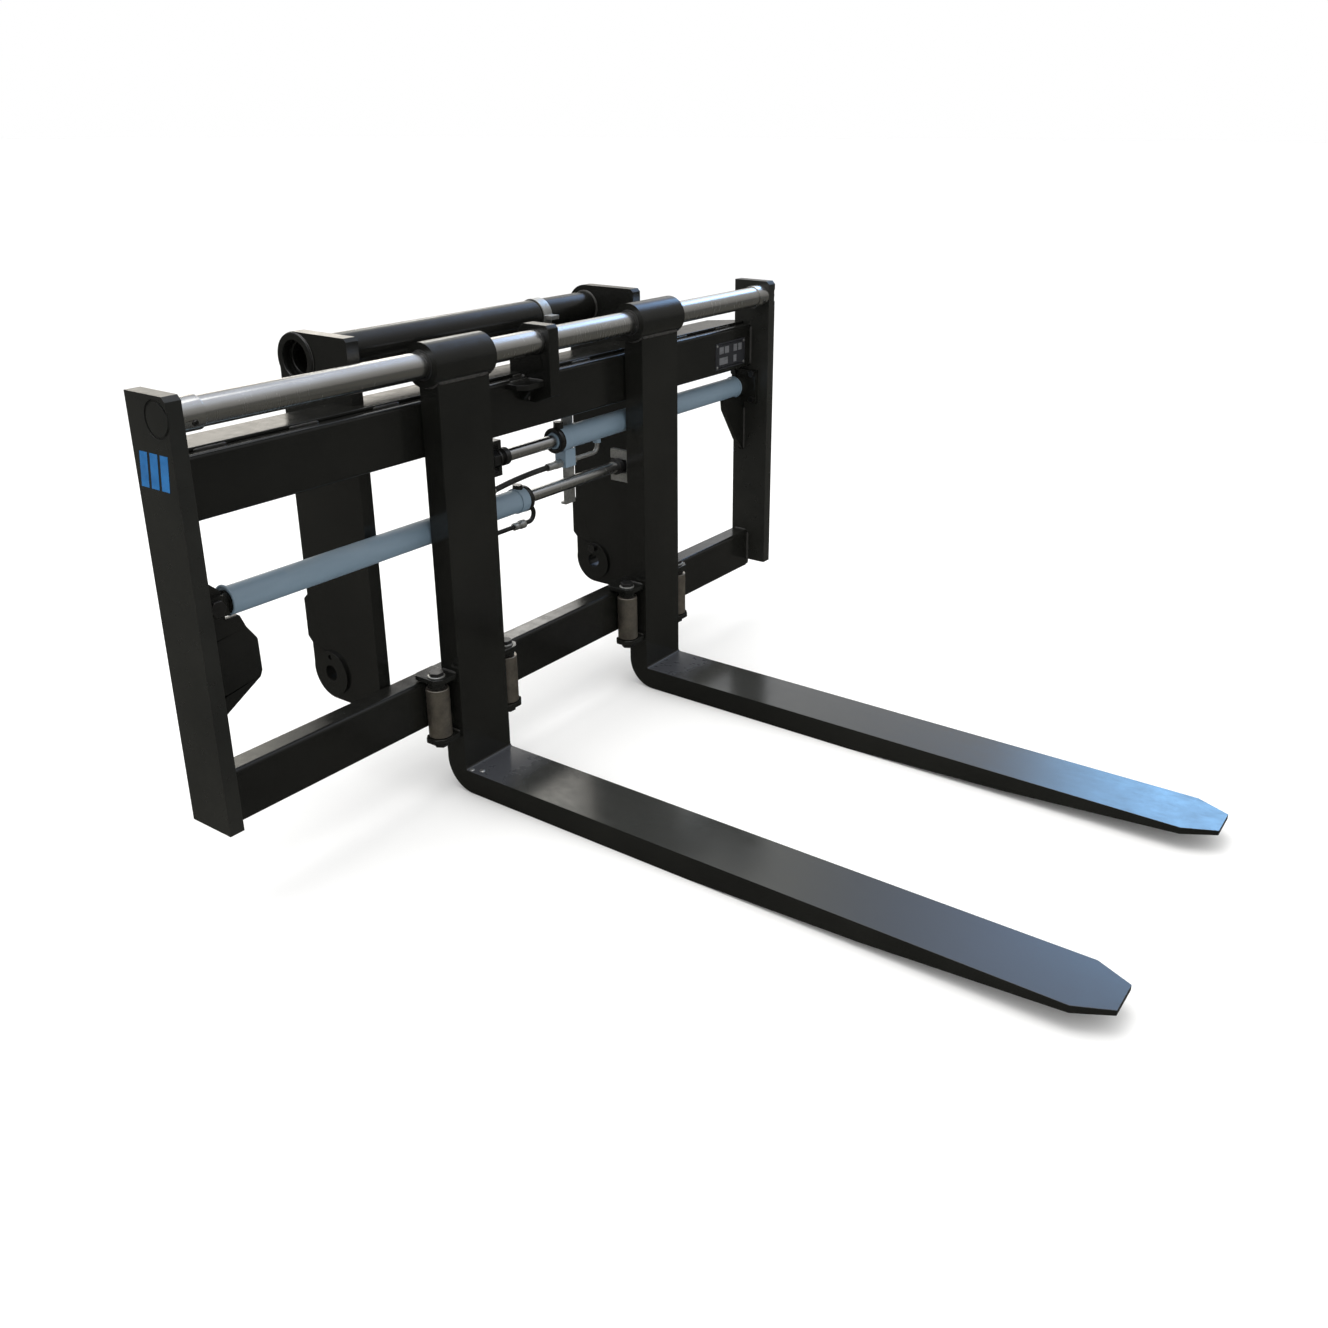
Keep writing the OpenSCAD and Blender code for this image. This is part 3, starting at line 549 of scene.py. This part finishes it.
def upper_beam_runs(runs):
    """The centre bracket and its gusset, and a row of stitches along the flange."""
    beam_lo, beam_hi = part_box("upper_beam")
    lo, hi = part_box("centre_bracket")
    for x in (lo.x, hi.x):
        runs.append(straight((x, beam_lo.y, lo.z + 3 * MM), (x, beam_lo.y, beam_hi.z - 7 * MM), LIGHT_BEAD))
        front, back = beam_lo.y + 8 * MM, beam_hi.y - 28 * MM
        runs.append(straight((x, front, beam_hi.z), (x, back, beam_hi.z), LIGHT_BEAD))
    flange_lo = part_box("beam_flange")[0]
    stitches, length, z = 9, 55 * MM, beam_hi.z + 1 * MM
    step = (beam_hi.x - beam_lo.x) / stitches
    for i in range(stitches):
        x = beam_lo.x + step * (i + 0.3)
        runs.append(straight((x, flange_lo.y, z), (x + length, flange_lo.y, z), STITCH_BEAD))
    lo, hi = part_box("bracket_gusset")
    runs.append(straight((lo.x + 12 * MM, hi.y, hi.z), (hi.x, hi.y, hi.z), STITCH_BEAD))
    runs.append(straight((hi.x, lo.y + 3 * MM, hi.z), (hi.x, hi.y, hi.z), STITCH_BEAD))


def carriage_welds():
    runs, rings = [], []
    beam_runs(runs)
    hanger_runs(runs, rings)
    upper_beam_runs(runs)
    lo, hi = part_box("anchor_tab")
    for y in (lo.y, hi.y):
        runs.append(straight((lo.x, y, lo.z + 4 * MM), (lo.x, y, hi.z - 4 * MM), BRACKET_BEAD))
    lo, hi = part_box("right_saddle")
    for y in (lo.y, hi.y):
        runs.append(straight((hi.x, y, lo.z + 4 * MM), (hi.x, y, hi.z - 34 * MM), BRACKET_BEAD))
    bead_set("carriage_welds", "carriage", runs, rings)


def eye_runs(side, runs):
    """Around the eye where the shank is cut to fit it: front, back, and an arc on each side."""
    eye_lo, eye_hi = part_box(side + "_eye")
    arm_lo, arm_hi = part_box(side + "_fork_arm")
    shaft_lo, shaft_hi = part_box("fork_shaft")
    axis_y = (shaft_lo.y + shaft_hi.y) / 2
    axis_z = (eye_hi.z + eye_lo.z) / 2
    eye_r = (eye_hi.z - eye_lo.z) / 2
    seat_z = arm_hi.z
    front_y = axis_y - math.sqrt(eye_r ** 2 - (axis_z - seat_z) ** 2)
    rear_y = arm_hi.y
    rear_z = axis_z - math.sqrt(eye_r ** 2 - (rear_y - axis_y) ** 2)
    x0, x1 = arm_lo.x + 2 * MM, arm_hi.x - 2 * MM
    runs.append(straight((x0, front_y, seat_z), (x1, front_y, seat_z), EYE_BEAD))
    runs.append(straight((x0, rear_y - 1 * MM, rear_z), (x1, rear_y - 1 * MM, rear_z), EYE_BEAD))
    steps = 8
    for x in (arm_lo.x, arm_hi.x):
        arc = []
        for k in range(steps + 1):
            y = front_y + (rear_y - front_y) * k / steps
            arc.append((x, y, axis_z - math.sqrt(max(0.0, eye_r ** 2 - (y - axis_y) ** 2))))
        runs.append((arc, LIGHT_BEAD))


def fork_welds():
    for side in SIDES:
        runs = []
        eye_runs(side, runs)
        arm_lo, arm_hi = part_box(side + "_fork_arm")
        cap_lo, cap_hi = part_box(side + "_roller_mounts")
        front, back = arm_hi.y - FORK_THICK + 8 * MM, arm_hi.y - 3 * MM
        for x in (arm_lo.x, arm_hi.x):
            for z in (cap_hi.z, cap_hi.z - 9 * MM, cap_lo.z + 10 * MM):
                runs.append(straight((x, front, z), (x, back, z), BRACKET_BEAD))
        lo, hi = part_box(side + "_drive_lug")
        for x in (lo.x, lo.x + 60 * MM) if side == "left" else (lo.x, hi.x):
            runs.append(straight((x, arm_hi.y, lo.z + 3 * MM), (x, arm_hi.y, hi.z - 3 * MM), BRACKET_BEAD))
        bead_set(side + "_fork_welds", side + "_fork", runs)


def barrel_welds():
    rings = []
    for barrel in ("lower_barrel", "upper_barrel"):
        lo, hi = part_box(barrel)
        radius = (hi.y - lo.y) / 2
        centre_z = hi.z - radius
        x = lo.x if barrel == "lower_barrel" else hi.x
        rings.append(((x, (lo.y + hi.y) / 2, centre_z), (1, 0, 0), radius, BARREL_BEAD))
    obj = bead_set("barrel_welds", "carriage", [], rings)
    obj.material_slots[0].material = CYLINDER


# ---------------------------------------------------------------- small hardware
def in_mm(*pairs):
    return [(a * MM, b * MM) for a, b in pairs]


def washers():
    """Chamfered washers under the roller bolt heads."""
    for side in SIDES:
        bm = bmesh.new()
        cap_lo, cap_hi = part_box(side + "_roller_mounts")
        for which in ("outer", "inner"):
            lo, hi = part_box(f"{side}_{which}_roller")
            centre = (lo + hi) / 2
            for z, up in ((cap_hi.z, 1), (cap_lo.z, -1)):
                at = Vector((centre.x, centre.y, z))
                profile = in_mm((0, 14), (0, 15.5), (1.8, 15.5), (2.4, 14.8), (2.4, 12))
                lathe(bm, at, Vector((0, 0, up)), profile)
        make_piece(side + "_washers", bm, ZINC, side + "_fork")


def grease_nipples():
    """A hex-based nipple on each eye."""
    for side in SIDES:
        lo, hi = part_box(side + "_eye")
        bm = bmesh.new()
        shaft_lo, shaft_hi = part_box("fork_shaft")
        z = (shaft_lo.z + shaft_hi.z) / 2 + 4 * MM
        x = (lo.x + hi.x) / 2 + 38 * MM
        profile = in_mm((-1, 3.9), (0, 4.4), (0.6, 4.4), (0.9, 2.4), (2.2, 2.0), (2.8, 2.9), (3.6, 2.6),
                        (4.2, 1.4))
        lathe(bm, Vector((x, hi.y, z)), Vector((0, 1, 0)), profile, 24)
        make_piece(side + "_grease_nipple", bm, ZINC, side + "_fork")


def eye_wipers():
    """Black wiper seals that close the ends of each eye around the shaft."""
    shaft_lo, shaft_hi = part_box("fork_shaft")
    shaft_r = (shaft_hi.z - shaft_lo.z) / 2
    for side in SIDES:
        lo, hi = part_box(side + "_eye")
        bush_lo, bush_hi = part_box(side + "_bushes")
        inner, outer = shaft_r + 0.2 * MM, (bush_hi.z - bush_lo.z) / 2 - 0.1 * MM
        depth = bush_lo.x - lo.x - 0.2 * MM
        lip = (0.3 * MM, inner + 0.8 * MM)
        outline = [(0, inner), lip, (0.1 * MM, outer), (depth, outer), (depth, inner)]
        bm = bmesh.new()
        for x, way in ((lo.x, 1), (hi.x, -1)):
            base = Vector((x, (shaft_lo.y + shaft_hi.y) / 2, (shaft_lo.z + shaft_hi.z) / 2))
            ring(bm, base, Vector((way, 0, 0)), outline)
        make_piece(side + "_wipers", bm, RUBBER, side + "_fork")


def gland_rings():
    """Black screwed rings around the rod end of each gland."""
    bm = bmesh.new()
    for gland, way in (("lower_gland", -1), ("upper_gland", 1)):
        lo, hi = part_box(gland)
        radius = (hi.y - lo.y) / 2
        wiper = 4 * MM
        x = hi.x - wiper if way < 0 else lo.x + wiper
        base = Vector((x, (lo.y + hi.y) / 2, (lo.z + hi.z) / 2))
        face = radius * 0.68
        outline = [(-1.4 * MM, face), (-1.4 * MM, radius - 1 * MM), (-0.4 * MM, radius + 0.7 * MM),
                   (9 * MM, radius + 0.7 * MM), (9.6 * MM, radius - 0.2 * MM), (0.4 * MM, radius - 0.6 * MM),
                   (0.4 * MM, face)]
        ring(bm, base, Vector((way, 0, 0)), outline)
    make_piece("gland_rings", bm, PAINT, "carriage")


def pipe_sleeve():
    """The bright union on the lower return pipe."""
    lo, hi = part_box("lower_pipe")
    radius = 4.5 * MM
    z = lo.z + radius
    y = (lo.y + hi.y) / 2
    bm = bmesh.new()
    profile = [(0, radius), (0.5 * MM, 7.4 * MM), (14 * MM, 7.4 * MM), (14.5 * MM, 6.2 * MM),
               (17 * MM, 6.2 * MM), (17.5 * MM, 8.6 * MM), (29 * MM, 8.6 * MM), (30 * MM, 7.6 * MM),
               (33 * MM, radius)]
    lathe(bm, Vector((hi.x - 62 * MM, y, z)), Vector((1, 0, 0)), profile)
    make_piece("pipe_sleeve", bm, ZINC, "carriage")


def heel_spatter():
    """Two flat blobs of bright weld metal on the corner of the left heel."""
    lo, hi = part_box("left_fork_arm")
    front = hi.y - FORK_THICK
    top = lo.z + FORK_THICK
    bm = bmesh.new()
    for dx, dy, size in ((7, 9, 5.0), (15, 27, 6.0)):
        base = Vector((lo.x + dx * MM, front - dy * MM, top - 0.2 * MM))
        profile = [(0, size), (0.8, size * 0.92), (1.5, size * 0.62), (1.8, size * 0.25)]
        lathe(bm, base, Vector((0, 0, 1)), [(a * MM, r * MM) for a, r in profile], 20)
    make_piece("heel_spatter", bm, ZINC, "left_fork")


def rod_threads():
    """The threads that show past each rod nut."""
    for side in SIDES:
        bm = bmesh.new()
        rod_lo, rod_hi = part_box(side + "_rod")
        nut_lo, nut_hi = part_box(side + "_rod_nuts")
        centre_z = (rod_lo.z + rod_hi.z) / 2
        centre_y = (rod_lo.y + rod_hi.y) / 2
        end, start = (rod_lo.x, nut_lo.x) if side == "left" else (rod_hi.x, nut_hi.x)
        away = -1 if side == "left" else 1
        length = abs(end - start)
        pitch = 1.5 * MM
        profile = [(0, 8.4 * MM)]
        for k in range(int(length / pitch)):
            for along, radius in ((0.25, 9.05), (0.8, 9.35), (1, 8.9)):
                profile.append((pitch * (k + along), radius * MM))
        profile.append((length - 0.05 * MM, 8.2 * MM))
        lathe(bm, Vector((start, centre_y, centre_z)), Vector((away, 0, 0)), profile, 36)
        make_piece(side + "_rod_thread", bm, ZINC, side + "_drive")


def hose_ferrules():
    """Crimped ferrules where the rubber line meets its fittings."""
    bm = bmesh.new()
    lo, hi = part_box("jumper_hose")
    radius = (hi.y - lo.y) / 2
    centre_y = (lo.y + hi.y) / 2
    crimps = [(0, radius + 0.4 * MM)]
    for k in range(4):
        crimps += [((1.5 + 5 * k) * MM, radius + 2.2 * MM), ((4.2 + 5 * k) * MM, radius + 2.2 * MM),
                   ((4.8 + 5 * k) * MM, radius + 1.4 * MM), ((6.0 + 5 * k) * MM, radius + 1.4 * MM)]
    crimps.append((22.5 * MM, radius + 1.0 * MM))
    at = Vector((hi.x + 1 * MM, centre_y, hi.z - radius))
    lathe(bm, at, Vector((1, 0, 0)), crimps, 32)
    make_piece("hose_ferrules", bm, ZINC, "carriage")


def data_plate_trim():
    """Domed rivets and plain raised panels on the blank data plate."""
    lo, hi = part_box("data_plate")
    bm = bmesh.new()
    inset = 6 * MM
    for x in (lo.x + inset, hi.x - inset):
        for z in (lo.z + inset, hi.z - inset):
            profile = in_mm((0, 3.0), (0.7, 2.8), (1.3, 2.0), (1.6, 0.8))
            lathe(bm, Vector((x, lo.y, z)), Vector((0, -1, 0)), profile, 24)
    make_piece("plate_rivets", bm, ZINC, "carriage")
    bm = bmesh.new()
    width, height = hi.x - lo.x, hi.z - lo.z
    tall = 0.26
    upper_row = ((0.12, 0.26), (0.30, 0.44), (0.60, 0.72), (0.76, 0.88))
    lower_row = ((0.12, 0.40), (0.60, 0.70))
    for row, panels in ((0.58, upper_row), (0.18, lower_row)):
        for u0, u1 in panels:
            x, z = lo.x + width * (u0 + u1) / 2, lo.z + height * (row + tall / 2)
            centre = Vector((x, lo.y - 0.15 * MM, z))
            made = bmesh.ops.create_cube(bm, size=1.0)["verts"]
            bmesh.ops.scale(bm, verts=made, vec=Vector((width * (u1 - u0), 0.5 * MM, height * tall)))
            bmesh.ops.translate(bm, verts=made, vec=centre)
    obj = make_piece("plate_panels", bm, PANEL_METAL, "carriage", smooth=False)
    bevel = obj.modifiers.new("soft_edge", "BEVEL")
    bevel.width = 0.2 * MM
    bevel.limit_method = "ANGLE"


# ---------------------------------------------------------------- stage and light
def add_stage():
    """A plain pale floor, large enough that its edge never shows; glossy rays see it dark grey, a painted
    reflection.
    """
    bm = bmesh.new()
    bmesh.ops.create_circle(bm, cap_ends=True, segments=96, radius=70.0)
    mesh = bpy.data.meshes.new("floor")
    bm.to_mesh(mesh)
    bm.free()
    floor = bpy.data.objects.new("floor", mesh)
    floor.location.z = cad_lo.z - 0.3 * MM
    bpy.context.scene.collection.objects.link(floor)
    mat, n, shader = new_material("floor_white", specular=0.1)
    # Painted reflection: in glossy reflections the floor shows dark grey, not pale.
    painted_dark_reflection = n.add("LightPath").outputs["Is Glossy Ray"]
    grain = n.mix(n.noise(3.0, 3.0, 0.5), (0.90, 0.90, 0.895), (0.93, 0.93, 0.925))
    finish_material(n, shader, n.mix(painted_dark_reflection, grain, (0.055, 0.053, 0.045)), 0.75, None)
    mesh.materials.append(mat)


def window(n, compass, elevation, sides, heights, soft):
    """1 inside a soft-edged pane of the surround.

    Degrees. soft is the half width of the edge at its low side, its high side and its two ends."""
    low, high, ends = soft
    pane = n.span(compass, sides[0] - low, sides[0] + low)
    pane = n.math("MULTIPLY", pane, n.span(compass, sides[1] - high, sides[1] + high, 1.0, 0.0))
    pane = n.math("MULTIPLY", pane, n.span(elevation, heights[0] - ends, heights[0] + ends))
    return n.math("MULTIPLY", pane, n.span(elevation, heights[1] - ends, heights[1] + ends, 1.0, 0.0))


def lit(n, sky, amount, colour):
    """Adds a pane's light to the surround."""
    glow = n.mix(amount, (0, 0, 0), colour)
    add = n.add("Mix")
    add.data_type = "RGBA"
    add.blend_type = "ADD"
    n.put(add.inputs["Factor"], 1.0)
    n.put(add.inputs[6], sky)
    n.put(add.inputs[7], glow)
    return add.outputs[2]


def add_world():
    """A workshop for glossy rays to see, with doors and windows behind. Even white light otherwise."""
    world = bpy.data.worlds.new("surround")
    bpy.context.scene.world = world
    world.use_nodes = True
    n = Nodes(world.node_tree)
    direction = n.add("SeparateXYZ", Vector=n.add("TexCoord").outputs["Generated"]).outputs
    to_degrees = math.degrees(1.0)
    compass = n.math("MULTIPLY", n.math("ARCTAN2", direction["Y"], direction["X"]), to_degrees)
    elevation = n.math("MULTIPLY", n.math("ARCSINE", direction["Z"]), to_degrees)
    sky = n.mix(n.span(elevation, 0, 30), (0.16, 0.155, 0.145), (0.34, 0.34, 0.335))
    sky = n.mix(n.span(elevation, 28, 48), sky, (0.62, 0.66, 0.74))
    sky = n.mix(n.span(elevation, 60, 80), sky, (0.95, 0.96, 0.98))
    panes = (
        ((41, 46.5), (17, 26), (0.4, 1.2, 1.0), (4.1, 4.0, 3.8)),
        ((41.3, 43.4), (26, 34), (0.5, 0.6, 1.0), (3.5, 3.35, 3.0)),
        ((43.4, 45), (26, 34), (0.6, 0.6, 1.0), (1.1, 1.1, 1.0)),
        ((56.0, 66), (20, 33), (1.3, 2.0, 2.0), (2.9, 2.8, 2.45)),
        ((45, 75), (4, 14), (7.0, 6.0, 1.4), (2.6, 2.45, 2.2)),
        ((28, 45), (4, 15), (4.0, 7.0, 2.0), (0.45, 0.43, 0.40)),
        ((16, 36), (16, 28.5), (2.0, 1.0, 1.2), (0.88, 0.90, 0.94)),
        ((36, 39.5), (23, 28.5), (1.0, 1.0, 0.8), (1.0, 1.05, 1.15)),
        ((29, 41), (29, 40), (4.0, 0.6, 1.0), (0.95, 0.95, 0.88)),
        ((-10, 24), (30, 42), (8.0, 5.0, 3.0), (0.75, 1.15, 2.0)),
        ((2, 15.5), (22, 32), (4.0, 3.5, 3.5), (2.9, 6.4, 11.0)),
    )
    for sides, heights, soft, colour in panes:
        sky = lit(n, sky, window(n, compass, elevation, sides, heights, soft), colour)
    ray = n.add("LightPath").outputs
    shown = n.mix(ray["Is Glossy Ray"], (1.16, 1.16, 1.16), sky)
    shown = n.mix(ray["Is Camera Ray"], shown, (1.0, 1.0, 1.0))
    n.put(world.node_tree.nodes["Background"].inputs["Color"], shown)


def add_light(name, at, aim, size, watts, colour):
    data = bpy.data.lights.new(name, "AREA")
    data.shape = "RECTANGLE"
    data.size, data.size_y = size
    data.energy = watts
    data.color = colour
    light = bpy.data.objects.new(name, data)
    light.location = at
    light.rotation_mode = "QUATERNION"
    light.rotation_quaternion = (Vector(aim) - Vector(at)).to_track_quat("-Z", "Y")
    bpy.context.scene.collection.objects.link(light)


def add_lights():
    add_light("overhead", (-0.6, 0.8, 4.2), (0, 0, 0), (3.6, 3.2), 90, (1.0, 0.99, 0.97))
    add_light("side_fill", (-4.2, 1.2, 2.2), (0, 0.3, 0.4), (2.4, 2.0), 12, (1.0, 0.97, 0.93))


add_camera()
dress_cad_nodes()
carriage_welds()
fork_welds()
barrel_welds()
washers()
grease_nipples()
eye_wipers()
gland_rings()
pipe_sleeve()
heel_spatter()
rod_threads()
hose_ferrules()
data_plate_trim()
add_stage()
add_world()
add_lights()
bpy.context.scene.view_settings.view_transform = "Standard"
